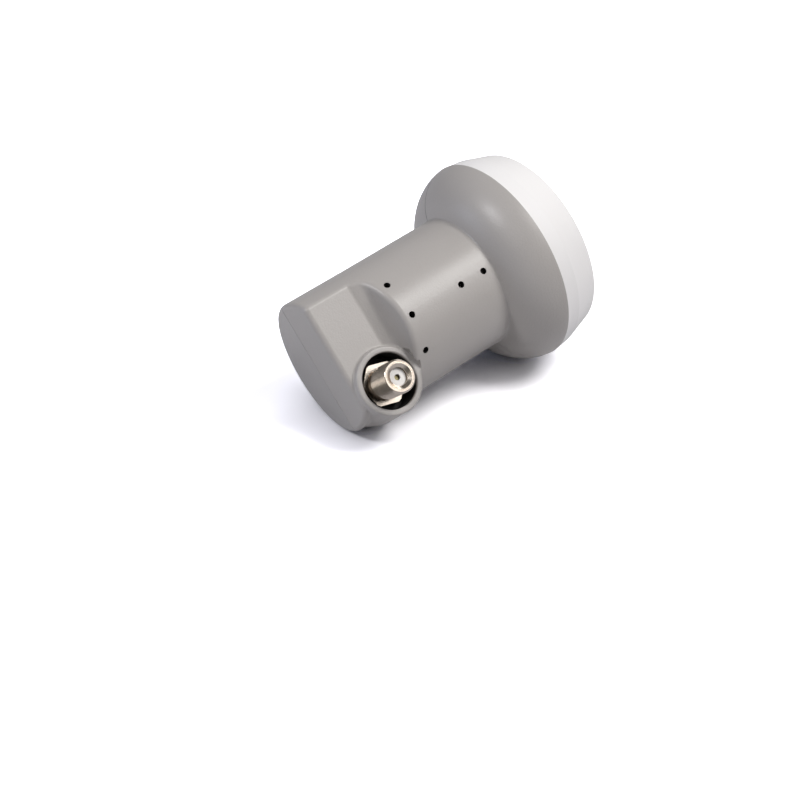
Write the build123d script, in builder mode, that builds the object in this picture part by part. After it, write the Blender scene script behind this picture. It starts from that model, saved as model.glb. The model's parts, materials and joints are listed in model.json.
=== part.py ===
from build123d import *
import os
from math import asin, atan2, cos, hypot, radians, sin, sqrt, tan

os.makedirs("parts", exist_ok=True)

# Lengths are in millimetres and angles in degrees.
# Along the feed axis, stations are counted from the seam between bell and cap, forward positive.

# Housing: a straight neck that opens into a bell, parted lengthwise into two halves
neck_d = 40.0
wall = 2.0
rim_d = 61.5
bell_depth = 12.6
bell_arc_r = 14.7
bell_root_round = 0.6
end_len = 65.35
near_draft = 2.5
far_draft = 5.5
end_round = 1.5
flare_angle = 0.45
flare_lead = 2.0
parting_gap = 0.12
tongue_w = 0.8
tongue_h = 1.2
tongue_clearance = 0.1
tongue_rear = 58.0
tongue_short_rear = 42.0
tongue_front = 19.0

# Flat with its bevel and step, on the connector side
flat_h = 12.1
flat_front = 50.2
bevel_angle = 24.0
step_front = 44.2
step_angle = 68.0
step_blend = 3.0
step_edge_round = 1.6
flat_crease_round = 2.0

# Vent holes: station behind the seam and angle round the neck
vent_d = 1.9
vents = [(42.1, 31.0), (41.5, 0.0), (42.1, -31.0), (24.0, 0.0), (15.9, 0.0)]

# Connector tower
tower_back = 54.65
tower_side = 12.35
tower_d = 19.4
tower_draft = 2.5
well_d = 16.0
ring_top = 14.2
ring_round = 0.6
lip_round = 0.4
tower_blend = 0.6
well_floor = 4.5
well_gap = 0.1
foot_draft = 6.5
foot_round = 0.8
foot_wall = 1.8

# Feed cap
cap_front = 13.3
cap_crease = 4.5
cap_crease_d = 60.4
cap_front_d = 55.14
cap_edge_round = 1.5
cap_wall = 1.6
spigot_len = 3.0
spigot_clearance = 0.1

# Horn and waveguide casting
guide_d = 18.0
guide_wall = 1.8
guide_back = 42.5
back_wall = 1.8
throat_len = 8.0
throat_d = 20.8
collar_front = 13.0
collar_len = 3.0
collar_clearance = 0.15
seat_rib = 1.0
seat_rib_len = 1.6
seat_gap = 0.15
horn_clearance = 0.65
horn_rim_back = 3.6
ring_wall = 1.2
throat_lip = 1.0
ring_count = 3
ring_front = 7.0
ring_step = 1.0
groove_depth = 6.4
plate_back = 5.0
seal_groove_back = 2.6
seal_groove_w = 2.0
seal_groove_depth = 1.0
seal_slack = 0.02

# Board and its seat
seat_y = 11.1
seat_t = 2.2
board_t = 0.8
board_half_w = 12.2
board_front = 18.5
board_step = 43.5
board_end_room = 2.85
board_tail_top = 1.2
board_inset = 0.3

# Screening lid and its screws
lid_t = 0.8
lid_flange_half_w = 11.8
lid_dome_half_w = 9.2
lid_top_half_w = 8.1
lid_depth = 3.6
lid_front = 19.2
lid_rear = 43.0
lid_flange = 2.6
lid_end_slope = 1.1
screw_d = 1.4
screw_head_d = 2.2
screw_head_h = 0.7
screw_len = 3.4
screw_clearance = 0.15
screw_spacing = 10.4
screw_edge = 1.3
absorber_t = 0.8
absorber_len = 13.0
absorber_w = 12.0

# Probes, their sleeves and the rod between them
probe_d = 1.3
probe_tail = 0.4
cross_back = 24.5
rod_back = 30.4
straight_back = 36.4
straight_reach = 5.2
cross_reach = 4.6
cross_bend_r = 1.6
sleeve_d = 4.2
rod_d = 1.5
pin_clearance = 0.02

# F connector
block_t = 2.5
block_d = 15.6
shank_d = 9.4
shank_clearance = 0.06
shank_drop = 0.5
seal_t = 1.5
seal_clearance = 0.05
hex_af = 11.0
hex_top = 9.6
hex_turn = -10.0
hex_face_d = 10.5
hex_corner_drop = 0.6
thread_d = 9.525
barrel_top = 21.2
barrel_chamfer = 0.5
mouth_d = 6.6
mouth_depth = 0.5
insulator_d = 5.2
insulator_recess = 0.7
entry_d = 1.8
entry_len = 1.2
socket_d = 2.3
socket_bore_d = 1.1
contact_pin_d = 0.8
contact_pin_drop = 4.0
contact_base = 2.4

# Parts on the board, each along the guide, across it and in height
transistor = (2.0, 1.3, 0.9)
chip = (4.0, 4.0, 0.9)
crystal_size = (3.2, 2.5, 0.8)
regulator_size = (4.5, 2.5, 1.4)
choke_d = 3.2
choke_h = 1.6
capacitor = (1.6, 0.8, 0.8)

# Their places on the board: station behind the seam and distance across
transistor_spots = [(27.0, 3.0), (27.0, -3.0), (34.0, 3.0)]
chip_spot = (31.0, 0.0)
crystal_spot = (31.0, 5.4)
regulator_spot = (36.5, -5.2)
choke_spot = (37.2, 5.0)
capacitor_spots = [(25.5, 6.0), (25.5, -6.2), (28.3, -5.8), (31.2, -4.4), (31.2, -6.2), (38.4, 1.6)]

# Rest: the part lies on its rim, its rear corner and the foot of its tower, rolled this far on its axis
rest_roll = 41.9

neck_r = neck_d / 2
rim_r = rim_d / 2
bore_r = neck_r - wall
flare_slope = tan(radians(flare_angle))
flare_front = step_front - flare_lead
tower_r = tower_d / 2
tower_slope = tan(radians(tower_draft))
base_r = tower_r + ring_top * tower_slope
well_r = well_d / 2
guide_r = guide_d / 2
guide_out_r = guide_r + guide_wall
spigot_r = rim_r - wall - spigot_clearance
spigot_in_r = spigot_r - cap_wall

# Centre of the bell's arc, in the plane of the section
chord = hypot(bell_depth, rim_r - neck_r)
arc_drop = sqrt(bell_arc_r**2 - (chord / 2) ** 2)
bell_x = -bell_depth / 2 + arc_drop * (rim_r - neck_r) / chord
bell_r = (rim_r + neck_r) / 2 - arc_drop * bell_depth / chord

# The tilt that brings the rim and the rear corner down to one plane, and the height of the seam's centre
roll = radians(rest_roll)
corner_slope = sin(roll) * tan(radians(far_draft))
corner_lead = end_round * sqrt(1 + corner_slope**2)
corner_r = neck_r + (end_len - corner_lead - flare_front) * flare_slope
corner_r -= end_round / cos(radians(flare_angle))
corner_r = corner_r / (1 + flare_slope * corner_slope)
corner_x = -end_len + corner_r * corner_slope + corner_lead
reach = hypot(bell_x - corner_x, bell_r - corner_r)
tilt = atan2(bell_r - corner_r, bell_x - corner_x) + asin((bell_arc_r - end_round) / reach)
origin_z = bell_r * cos(tilt) + bell_arc_r - bell_x * sin(tilt)
floor_x = sin(tilt)
floor_y = cos(tilt) * cos(roll)
floor_z = cos(tilt) * sin(roll)

# Midway between the cap's front edge and the top corner of the rear end
cap_taper = atan2((cap_crease_d - cap_front_d) / 2, cap_front - cap_crease)
front_reach = (cap_front - cap_edge_round) * cos(tilt) + cap_edge_round
front_reach += (cap_front_d / 2 - cap_edge_round * tan(radians(45) - cap_taper / 2)) * sin(tilt)
rear_z = flat_h - end_round
rear_y = sqrt(corner_r**2 - rear_z**2)
rear_x = end_len - rear_z * tan(radians(near_draft)) - end_round
rear_reach = rear_x * cos(tilt) + (rear_y * cos(roll) + rear_z * sin(roll)) * sin(tilt) + end_round
origin_x = (rear_reach - front_reach) / 2

# The tower runs down to the same plane
foot_run = sqrt(1 - floor_z**2)
foot_slope = tan(radians(foot_draft))
foot_gap = origin_z - floor_x * tower_back - floor_y * tower_side + floor_z * foot_round
foot_gap -= (base_r - foot_round * tan(radians(45 - foot_draft / 2))) * foot_run + foot_round
foot_depth = foot_gap / (floor_z - foot_slope * foot_run)
foot_r = base_r - foot_depth * foot_slope

# Reference planes: the part's own axes, its lengthwise section, and planes across it
body = Plane(
    origin=(origin_x, 0, origin_z),
    x_dir=(cos(tilt), 0, sin(tilt)),
    z_dir=(-sin(tilt) * sin(roll), -cos(roll), cos(tilt) * sin(roll)),
)
section = Plane(body.origin, x_dir=body.x_dir, z_dir=-body.y_dir)
feed_axis = Axis(body.origin, body.x_dir)
tower_origin = body.origin - body.x_dir * tower_back - body.y_dir * tower_side
tower_plane = Plane(tower_origin, x_dir=body.x_dir, z_dir=body.z_dir)
tower_section = Plane(tower_origin, x_dir=body.x_dir, z_dir=-body.y_dir)
tower_axis = Axis(tower_origin, body.z_dir)
board_plane = Plane(body.origin - body.y_dir * seat_y, x_dir=body.x_dir, z_dir=-body.y_dir)
board_rear = end_len - wall - board_end_room


def end_plane(draft, depth):
    slope = radians(draft)
    inward = body.x_dir * cos(slope) - body.z_dir * sin(slope)
    start = body.origin - body.x_dir * end_len
    return Plane(start + inward * depth, x_dir=body.y_dir, z_dir=inward)


# Both halves start from one turned outline, flared a little at the rear and long enough for the drafted ends
blank_len = end_len + neck_r
with BuildPart() as housing_blank:
    with BuildSketch(section) as outline:
        with BuildLine():
            Polyline(
                (0, rim_r),
                (0, 0),
                (-blank_len, 0),
                (-blank_len, neck_r + (blank_len - flare_front) * flare_slope),
                (-flare_front, neck_r),
                (-bell_depth, neck_r),
            )
            ThreePointArc(
                (-bell_depth, neck_r),
                (bell_x - bell_arc_r * (rim_r - neck_r) / chord, bell_r + bell_arc_r * bell_depth / chord),
                (0, rim_r),
            )
        make_face()
        fillet(outline.vertices().sort_by_distance((-bell_depth, neck_r))[0], radius=bell_root_round)
    revolve(axis=feed_axis)

# The hollow of the housing, with the seat rib behind the horn's collar and the socket for the cap
bell_in_r = bell_arc_r - wall
bell_in_x = bell_x - sqrt(bell_in_r**2 - (bore_r - bell_r) ** 2)
socket_in_r = bell_r + sqrt(bell_in_r**2 - (bell_x + spigot_len) ** 2)
bell_mid_x = bell_in_x - spigot_len - 2 * bell_x
bell_mid_r = bore_r + socket_in_r - 2 * bell_r
bell_mid = bell_in_r / hypot(bell_mid_x, bell_mid_r)
rib_front = -collar_front - collar_len - seat_gap
with BuildPart() as housing_hollow:
    with BuildSketch(section):
        with BuildLine():
            Polyline(
                (-spigot_len, socket_in_r),
                (-spigot_len, rim_r - wall),
                (wall, rim_r - wall),
                (wall, 0),
                (-blank_len, 0),
                (-blank_len, bore_r),
                (rib_front - seat_rib_len - seat_rib, bore_r),
                (rib_front - seat_rib_len, bore_r - seat_rib),
                (rib_front, bore_r - seat_rib),
                (rib_front, bore_r),
                (bell_in_x, bore_r),
            )
            ThreePointArc(
                (bell_in_x, bore_r),
                (bell_x + bell_mid * bell_mid_x, bell_r + bell_mid * bell_mid_r),
                (-spigot_len, socket_in_r),
            )
        make_face()
    revolve(axis=feed_axis)

# Outline of the flat, its bevel and its step
bevel = tan(radians(bevel_angle))
steep = tan(radians(step_angle))
crease_x = (flat_h + flat_front * bevel - neck_r - step_front * steep) / (steep - bevel)
crease_z = flat_h + (crease_x + flat_front) * bevel
over = wall * 3
with BuildSketch(section) as recess:
    with BuildLine():
        Polyline(
            (-end_len - over, flat_h),
            (-flat_front, flat_h),
            (crease_x, crease_z),
            (-step_front + over / steep, neck_r + over),
            (-end_len - over, neck_r + over),
            close=True,
        )
    make_face()

with BuildPart() as near_hollow:
    add(housing_hollow.part)
    split(bisect_by=end_plane(near_draft, wall), keep=Keep.TOP)
    with BuildSketch(section):
        add(recess.sketch_local)
        offset(amount=wall, kind=Kind.INTERSECTION)
    extrude(amount=neck_d, both=True, mode=Mode.SUBTRACT)

with BuildPart() as far_hollow:
    add(housing_hollow.part)
    split(bisect_by=end_plane(-far_draft, wall), keep=Keep.TOP)


def above_flat(edge):
    middle = body.to_local_coords(edge.center())
    return middle.Z > flat_h - end_round and -end_len + end_round < middle.X < -bell_depth - wall


def on_tower(edge):
    reach = [tower_plane.to_local_coords(edge.position_at(t)) for t in (0.1, 0.5, 0.9)]
    off = [abs(hypot(p.X, p.Y) - base_r + p.Z * tower_slope) for p in reach]
    return max(off) < 0.01 and all(parting_gap < p.Z < ring_top - ring_round for p in reach)


# Half of the housing on the connector side
with BuildPart() as shell_near:
    add(housing_blank.part)
    split(bisect_by=end_plane(near_draft, 0), keep=Keep.TOP)
    with BuildSketch(section) as step_cut:
        add(recess.sketch_local)
        fillet(step_cut.vertices().sort_by_distance((crease_x, crease_z))[0], radius=step_blend)
        fillet(step_cut.vertices().sort_by_distance((-flat_front, flat_h))[0], radius=flat_crease_round)
    extrude(amount=neck_d, both=True, mode=Mode.SUBTRACT)
    neck_skin = shell_near.faces().filter_by(GeomType.CONE).sort_by(SortBy.AREA)[-1]
    fillet([e for e in neck_skin.edges() if above_flat(e)], radius=step_edge_round)
    fillet(shell_near.faces().sort_by(feed_axis)[0].edges(), radius=end_round)
    with BuildSketch(tower_section) as tower_side_view:
        with BuildLine():
            Polyline((0, 0), (base_r, 0), (tower_r, ring_top), (0, ring_top), close=True)
        make_face()
        fillet(tower_side_view.vertices().sort_by_distance((tower_r, ring_top))[0], radius=ring_round)
    revolve(axis=tower_axis)
    fillet([e for e in shell_near.edges() if on_tower(e)], radius=tower_blend)
    add(near_hollow.part, mode=Mode.SUBTRACT)
    with BuildSketch(tower_plane.offset(well_floor + well_gap)):
        Circle(tower_r)
    extrude(amount=flat_h - well_floor)
    with BuildSketch(tower_section) as well_side_view:
        with BuildLine():
            Polyline(
                (0, -wall),
                (well_r, -wall),
                (well_r, ring_top),
                (well_r + wall, ring_top),
                (well_r + wall, ring_top + wall),
                (0, ring_top + wall),
                close=True,
            )
        make_face()
        fillet(well_side_view.vertices().sort_by_distance((well_r, ring_top))[0], radius=lip_round)
    revolve(axis=tower_axis, mode=Mode.SUBTRACT)
    for vent_back, vent_turn in vents:
        outward = body.z_dir * cos(radians(vent_turn)) - body.y_dir * sin(radians(vent_turn))
        with BuildSketch(Plane(body.origin - body.x_dir * vent_back, x_dir=body.x_dir, z_dir=outward)):
            Circle(vent_d / 2)
        extrude(amount=neck_d, mode=Mode.SUBTRACT)
    with BuildSketch(body.offset(parting_gap / 2)):
        Rectangle(4 * end_len, 4 * rim_r)
    extrude(amount=2 * rim_r, mode=Mode.INTERSECT)
    with BuildSketch(body.offset(-tongue_h)):
        for back, side in ((tongue_rear, 1), (tongue_short_rear, -1)):
            with Locations((-(back + tongue_front) / 2, side * (neck_r - wall / 2))):
                Rectangle(back - tongue_front, tongue_w)
    extrude(amount=tongue_h + wall / 4)

# Other half, with the closed lower end of the tower as its foot
with BuildPart() as shell_far:
    add(housing_blank.part)
    split(bisect_by=end_plane(-far_draft, 0), keep=Keep.TOP)
    fillet(shell_far.faces().sort_by(feed_axis)[0].edges(), radius=end_round)
    with BuildSketch(tower_section) as foot_side_view:
        with BuildLine():
            Polyline(
                (0, wall),
                (base_r + wall * foot_slope, wall),
                (foot_r, -foot_depth),
                (0, -foot_depth),
                close=True,
            )
        make_face()
        fillet(foot_side_view.vertices().sort_by_distance((foot_r, -foot_depth))[0], radius=foot_round)
    revolve(axis=tower_axis)
    add(far_hollow.part, mode=Mode.SUBTRACT)
    with BuildSketch(tower_section):
        with BuildLine():
            Polyline(
                (0, wall),
                (well_r + wall * foot_slope, wall),
                (foot_r - foot_wall + foot_wall * foot_slope, -foot_depth + foot_wall),
                (0, -foot_depth + foot_wall),
                close=True,
            )
        make_face()
    revolve(axis=tower_axis, mode=Mode.SUBTRACT)
    with BuildSketch(body.offset(-parting_gap / 2)):
        Rectangle(4 * end_len, 4 * rim_r)
    extrude(amount=-2 * rim_r, mode=Mode.INTERSECT)
    with BuildSketch(body):
        for back, side in ((tongue_rear, 1), (tongue_short_rear, -1)):
            with Locations((-(back + tongue_front) / 2, side * (neck_r - wall / 2))):
                Rectangle(back - tongue_front + 2 * tongue_clearance, tongue_w + 2 * tongue_clearance)
    extrude(amount=-tongue_h - tongue_clearance, mode=Mode.SUBTRACT)

# Cap over the feed, with the spigot that plugs into the bell
cap_slope = hypot(cap_front - cap_crease, (cap_crease_d - cap_front_d) / 2)
cap_along = (cap_front - cap_crease) / cap_slope
cap_across = (cap_crease_d - cap_front_d) / 2 / cap_slope
cap_in_x = cap_crease - cap_wall * cap_across
cap_in_r = cap_crease_d / 2 - cap_wall * cap_along
cap_in_front = cap_front - cap_wall
cap_in_front_r = cap_in_r - (cap_in_front - cap_in_x) * cap_across / cap_along
cap_room = cap_in_r - (ring_front - cap_in_x) * cap_across / cap_along
with BuildPart() as feed_cap:
    with BuildSketch(section) as cap_side_view:
        with BuildLine():
            Polyline(
                (-spigot_len, spigot_in_r),
                (-spigot_len, spigot_r),
                (0, spigot_r),
                (0, rim_r),
                (cap_crease, cap_crease_d / 2),
                (cap_front, cap_front_d / 2),
                (cap_front, 0),
                (cap_in_front, 0),
                (cap_in_front, cap_in_front_r),
                (cap_in_x, cap_in_r),
                (0, spigot_in_r),
                close=True,
            )
        make_face()
        cap_edge = cap_side_view.vertices().sort_by_distance((cap_front, cap_front_d / 2))[0]
        fillet(cap_edge, radius=cap_edge_round)
    revolve(axis=feed_axis)

# Ring that seals the cap's spigot on the horn's rim
horn_rim_r = min(spigot_in_r, cap_room, cap_in_r) - horn_clearance
seal_in_r = horn_rim_r - seal_groove_depth
seal_r = min(spigot_in_r - seal_in_r, seal_groove_w) / 2 - seal_slack
with BuildPart() as cap_seal:
    with BuildSketch(section):
        with Locations((-seal_groove_back + seal_groove_w / 2, seal_in_r + seal_slack + seal_r)):
            Circle(seal_r)
    revolve(axis=feed_axis)

# Casting: corrugated horn, round waveguide, seat for the board and block for the connector
collar_r = bore_r - collar_clearance
ring_pitch = (horn_rim_r - throat_d / 2 - throat_lip) / ring_count
corrugations = []
for count in range(ring_count):
    crest_r = horn_rim_r - count * ring_pitch
    crest_x = ring_front - count * ring_step
    corrugations.append((crest_x, crest_r))
    corrugations.append((crest_x, crest_r - ring_wall))
    corrugations.append((crest_x - groove_depth, crest_r - ring_wall))
    corrugations.append((crest_x - groove_depth, crest_r - ring_pitch))
throat_x = ring_front - ring_count * ring_step
with BuildPart() as horn_chassis:
    with BuildSketch(section):
        with BuildLine():
            Polyline(
                (-guide_back - back_wall, 0),
                (-guide_back - back_wall, guide_out_r),
                (-collar_front - collar_len, guide_out_r),
                (-collar_front - collar_len, collar_r),
                (-collar_front, collar_r),
                (-collar_front, guide_out_r + ring_wall),
                (-plate_back, guide_out_r + ring_wall),
                (-horn_rim_back, horn_rim_r - ring_pitch - ring_wall),
                (-horn_rim_back, horn_rim_r),
                (-seal_groove_back, horn_rim_r),
                (-seal_groove_back, seal_in_r),
                (-seal_groove_back + seal_groove_w, seal_in_r),
                (-seal_groove_back + seal_groove_w, horn_rim_r),
                *corrugations,
                (throat_x, throat_d / 2 + throat_lip),
                (throat_x, throat_d / 2),
                (throat_x - throat_len, guide_r),
                (-guide_back, guide_r),
                (-guide_back, 0),
                close=True,
            )
        make_face()
    revolve(axis=feed_axis)
    with BuildSketch(board_plane):
        with BuildLine():
            Polyline(
                (-collar_front - collar_len, -board_half_w),
                (-collar_front - collar_len, board_half_w),
                (-board_step, board_half_w),
                (-board_step, well_floor),
                (-board_rear, well_floor),
                (-board_rear, -board_half_w),
                close=True,
            )
        make_face()
    extrude(amount=-seat_t)
    with BuildSketch(body.offset(well_floor)):
        with Locations((-tower_back, -tower_side)):
            Circle(block_d / 2)
        with BuildLine():
            Polyline(
                (-board_rear, -tower_side),
                (-board_step - board_inset, -tower_side),
                (-board_step - board_inset, -seat_y),
                (-guide_back - back_wall / 2, -seat_y),
                (-guide_back - back_wall / 2, -guide_r / 2),
                (-board_rear, -guide_r / 2),
                close=True,
            )
        make_face()
    extrude(amount=-block_t)
    with BuildSketch(section):
        with BuildLine():
            Polyline(
                (-guide_back, 0),
                (-guide_back, guide_r),
                (throat_x - throat_len, guide_r),
                (throat_x - throat_len, 0),
                close=True,
            )
        make_face()
    revolve(axis=feed_axis, mode=Mode.SUBTRACT)
    with BuildSketch(tower_plane.offset(well_floor)):
        Circle(shank_d / 2 + shank_clearance)
    extrude(amount=-block_t - 2 * shank_drop, mode=Mode.SUBTRACT)
    with BuildSketch(board_plane):
        with Locations((-cross_back, 0), (-straight_back, 0)):
            Circle(sleeve_d / 2 + pin_clearance)
        with Locations((-(lid_front + lid_rear) / 2, 0)):
            with GridLocations((lid_rear - lid_front) / 2 - screw_edge, 2 * screw_spacing, 3, 2):
                Circle(screw_d / 2 + pin_clearance)
    extrude(amount=-seat_t, mode=Mode.SUBTRACT)
    with BuildSketch(body):
        with Locations((-rod_back, 0)):
            Circle(rod_d / 2 + pin_clearance)
    extrude(amount=guide_out_r + wall, both=True, mode=Mode.SUBTRACT)

# Circuit board on its seat, with a tail beside the connector
board_edge = board_half_w - board_inset
board_top = board_plane.offset(board_t)
with BuildPart() as rf_board:
    with BuildSketch(board_plane):
        with BuildLine():
            Polyline(
                (-board_front, -board_edge),
                (-board_front, board_edge),
                (-board_step, board_edge),
                (-board_step, board_tail_top),
                (-board_rear, board_tail_top),
                (-board_rear, -board_edge),
                close=True,
            )
        make_face()
        with Locations((-cross_back, 0), (-straight_back, 0)):
            Circle(probe_d / 2 + pin_clearance, mode=Mode.SUBTRACT)
        with Locations((-(lid_front + lid_rear) / 2, 0)):
            with GridLocations((lid_rear - lid_front) / 2 - screw_edge, 2 * screw_spacing, 3, 2):
                Circle(screw_d / 2 + screw_clearance, mode=Mode.SUBTRACT)
    extrude(amount=board_t)

# Screening lid: a pressed dome with a screwed flange
lid_len = lid_rear - lid_front
lid_mid = -(lid_front + lid_rear) / 2
with BuildPart() as shield_lid:
    with BuildSketch(board_top):
        with Locations((lid_mid, 0)):
            Rectangle(lid_len, 2 * lid_flange_half_w)
            with GridLocations(lid_len / 2 - screw_edge, 2 * screw_spacing, 3, 2):
                Circle(screw_d / 2 + screw_clearance, mode=Mode.SUBTRACT)
    extrude(amount=lid_t)
    with BuildSketch(board_top):
        with Locations((lid_mid, 0)):
            Rectangle(lid_len - 2 * lid_flange, 2 * lid_dome_half_w)
    with BuildSketch(board_top.offset(lid_depth)):
        with Locations((lid_mid, 0)):
            Rectangle(lid_len - 2 * lid_flange - 2 * lid_end_slope, 2 * lid_top_half_w)
    loft()
    with BuildSketch(board_top):
        with Locations((lid_mid, 0)):
            Rectangle(lid_len - 2 * lid_flange - 2 * lid_t, 2 * lid_dome_half_w - 2 * lid_t)
    with BuildSketch(board_top.offset(lid_depth - lid_t)):
        with Locations((lid_mid, 0)):
            Rectangle(
                lid_len - 2 * lid_flange - 2 * lid_end_slope - 2 * lid_t, 2 * lid_top_half_w - 2 * lid_t
            )
    loft(mode=Mode.SUBTRACT)

with BuildPart() as absorber_pad:
    with BuildSketch(board_top.offset(lid_depth - lid_t)):
        with Locations((lid_mid, 0)):
            Rectangle(absorber_len, absorber_w)
    extrude(amount=-absorber_t)

with BuildPart() as shield_screws:
    with BuildSketch(board_top.offset(lid_t)):
        with Locations((lid_mid, 0)):
            with GridLocations(lid_len / 2 - screw_edge, 2 * screw_spacing, 3, 2):
                Circle(screw_head_d / 2)
    extrude(amount=screw_head_h)
    with BuildSketch(board_top.offset(lid_t)):
        with Locations((lid_mid, 0)):
            with GridLocations(lid_len / 2 - screw_edge, 2 * screw_spacing, 3, 2):
                Circle(screw_d / 2)
    extrude(amount=-screw_len)

# Pick-up probes: one straight, one bent across the guide
with BuildPart() as probe_straight:
    with BuildSketch(board_top.offset(probe_tail)):
        with Locations((-straight_back, 0)):
            Circle(probe_d / 2)
    extrude(amount=-(seat_y + board_t + probe_tail - straight_reach))

cross_plane = Plane(body.origin - body.x_dir * cross_back, x_dir=body.y_dir, z_dir=body.x_dir)
with BuildPart() as probe_cross:
    with BuildLine(cross_plane):
        FilletPolyline((-seat_y - board_t - probe_tail, 0), (0, 0), (0, cross_reach), radius=cross_bend_r)
    with BuildSketch(Plane(board_top.origin - body.x_dir * cross_back - body.y_dir * probe_tail,
                           x_dir=body.x_dir, z_dir=body.y_dir)):
        Circle(probe_d / 2)
    sweep()

with BuildPart() as probe_bushings:
    with BuildSketch(board_plane):
        with Locations((-cross_back, 0), (-straight_back, 0)):
            Circle(sleeve_d / 2)
            Circle(probe_d / 2 + pin_clearance, mode=Mode.SUBTRACT)
    extrude(amount=-(seat_y - guide_r))

with BuildPart() as isolation_rod:
    with BuildSketch(body):
        with Locations((-rod_back, 0)):
            Circle(rod_d / 2)
    extrude(amount=guide_out_r - pin_clearance, both=True)

# F connector: body, insulator, contact and the ring under its hexagon
shank_bottom = well_floor - block_t - shank_drop
hex_bottom = well_floor + seal_t
insulator_top = barrel_top - insulator_recess
hex_corner_r = hex_af / sqrt(3)
with BuildPart() as f_body:
    with BuildSketch(tower_plane.offset(hex_bottom)):
        RegularPolygon(hex_af / 2, 6, major_radius=False, rotation=hex_turn)
    extrude(amount=hex_top - hex_bottom)
    with BuildSketch(tower_section):
        with BuildLine():
            Polyline(
                (0, hex_bottom),
                (hex_face_d / 2, hex_bottom),
                (hex_corner_r, hex_bottom + hex_corner_drop),
                (hex_corner_r, hex_top - hex_corner_drop),
                (hex_face_d / 2, hex_top),
                (0, hex_top),
                close=True,
            )
        make_face()
    revolve(axis=tower_axis, mode=Mode.INTERSECT)
    with BuildSketch(tower_section):
        with BuildLine():
            Polyline(
                (0, shank_bottom),
                (shank_d / 2, shank_bottom),
                (shank_d / 2, hex_bottom),
                (thread_d / 2, hex_top),
                (thread_d / 2, barrel_top - barrel_chamfer),
                (thread_d / 2 - barrel_chamfer, barrel_top),
                (0, barrel_top),
                close=True,
            )
        make_face()
    revolve(axis=tower_axis)
    with BuildSketch(tower_section):
        with BuildLine():
            Polyline(
                (0, shank_bottom),
                (insulator_d / 2, shank_bottom),
                (insulator_d / 2, barrel_top - mouth_depth),
                (mouth_d / 2, barrel_top),
                (0, barrel_top),
                close=True,
            )
        make_face()
    revolve(axis=tower_axis, mode=Mode.SUBTRACT)

socket_top = insulator_top - entry_len
with BuildPart() as f_insulator:
    with BuildSketch(tower_section):
        with BuildLine():
            Polyline(
                (contact_pin_d / 2 + pin_clearance, shank_bottom),
                (insulator_d / 2 - pin_clearance, shank_bottom),
                (insulator_d / 2 - pin_clearance, insulator_top),
                (entry_d / 2, insulator_top),
                (entry_d / 2, socket_top),
                (socket_d / 2 + pin_clearance, socket_top),
                (socket_d / 2 + pin_clearance, contact_base),
                (contact_pin_d / 2 + pin_clearance, contact_base),
                close=True,
            )
        make_face()
    revolve(axis=tower_axis)

with BuildPart() as f_contact:
    with BuildSketch(tower_section):
        with BuildLine():
            Polyline(
                (0, -contact_pin_drop),
                (contact_pin_d / 2, -contact_pin_drop),
                (contact_pin_d / 2, contact_base),
                (socket_d / 2, contact_base),
                (socket_d / 2, socket_top),
                (socket_bore_d / 2, socket_top),
                (socket_bore_d / 2, contact_base + socket_d),
                (0, contact_base + socket_d),
                close=True,
            )
        make_face()
    revolve(axis=tower_axis)

with BuildPart() as connector_seal:
    with BuildSketch(tower_plane.offset(well_floor)):
        Circle(well_r - seal_clearance)
        Circle(shank_d / 2 + seal_clearance, mode=Mode.SUBTRACT)
    extrude(amount=seal_t)

# Parts on the board, under the lid
with BuildPart() as lna_transistors:
    with BuildSketch(board_top):
        with Locations(*[(-back, side) for back, side in transistor_spots]):
            Rectangle(transistor[0], transistor[1])
    extrude(amount=transistor[2])

with BuildPart() as converter_chip:
    with BuildSketch(board_top):
        with Locations((-chip_spot[0], chip_spot[1])):
            Rectangle(chip[0], chip[1])
    extrude(amount=chip[2])

with BuildPart() as crystal:
    with BuildSketch(board_top):
        with Locations((-crystal_spot[0], crystal_spot[1])):
            RectangleRounded(crystal_size[0], crystal_size[1], crystal_size[2] / 2)
    extrude(amount=crystal_size[2])

with BuildPart() as regulator:
    with BuildSketch(board_top):
        with Locations((-regulator_spot[0], regulator_spot[1])):
            Rectangle(regulator_size[0], regulator_size[1])
    extrude(amount=regulator_size[2])

with BuildPart() as choke:
    with BuildSketch(board_top):
        with Locations((-choke_spot[0], choke_spot[1])):
            Circle(choke_d / 2)
    extrude(amount=choke_h)

with BuildPart() as chip_capacitors:
    with BuildSketch(board_top):
        with Locations(*[(-back, side) for back, side in capacitor_spots]):
            Rectangle(capacitor[0], capacitor[1])
    extrude(amount=capacitor[2])

shell_near.part.label = "shell_near"
export_step(shell_near.part, "parts/shell_near.step")

shell_far.part.label = "shell_far"
export_step(shell_far.part, "parts/shell_far.step")

feed_cap.part.label = "feed_cap"
export_step(feed_cap.part, "parts/feed_cap.step")

cap_seal.part.label = "cap_seal"
export_step(cap_seal.part, "parts/cap_seal.step")

horn_chassis.part.label = "horn_chassis"
export_step(horn_chassis.part, "parts/horn_chassis.step")

rf_board.part.label = "rf_board"
export_step(rf_board.part, "parts/rf_board.step")

shield_lid.part.label = "shield_lid"
export_step(shield_lid.part, "parts/shield_lid.step")

absorber_pad.part.label = "absorber_pad"
export_step(absorber_pad.part, "parts/absorber_pad.step")

shield_screws.part.label = "shield_screws"
export_step(shield_screws.part, "parts/shield_screws.step")

probe_straight.part.label = "probe_straight"
export_step(probe_straight.part, "parts/probe_straight.step")

probe_cross.part.label = "probe_cross"
export_step(probe_cross.part, "parts/probe_cross.step")

probe_bushings.part.label = "probe_bushings"
export_step(probe_bushings.part, "parts/probe_bushings.step")

isolation_rod.part.label = "isolation_rod"
export_step(isolation_rod.part, "parts/isolation_rod.step")

f_body.part.label = "f_body"
export_step(f_body.part, "parts/f_body.step")

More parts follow.
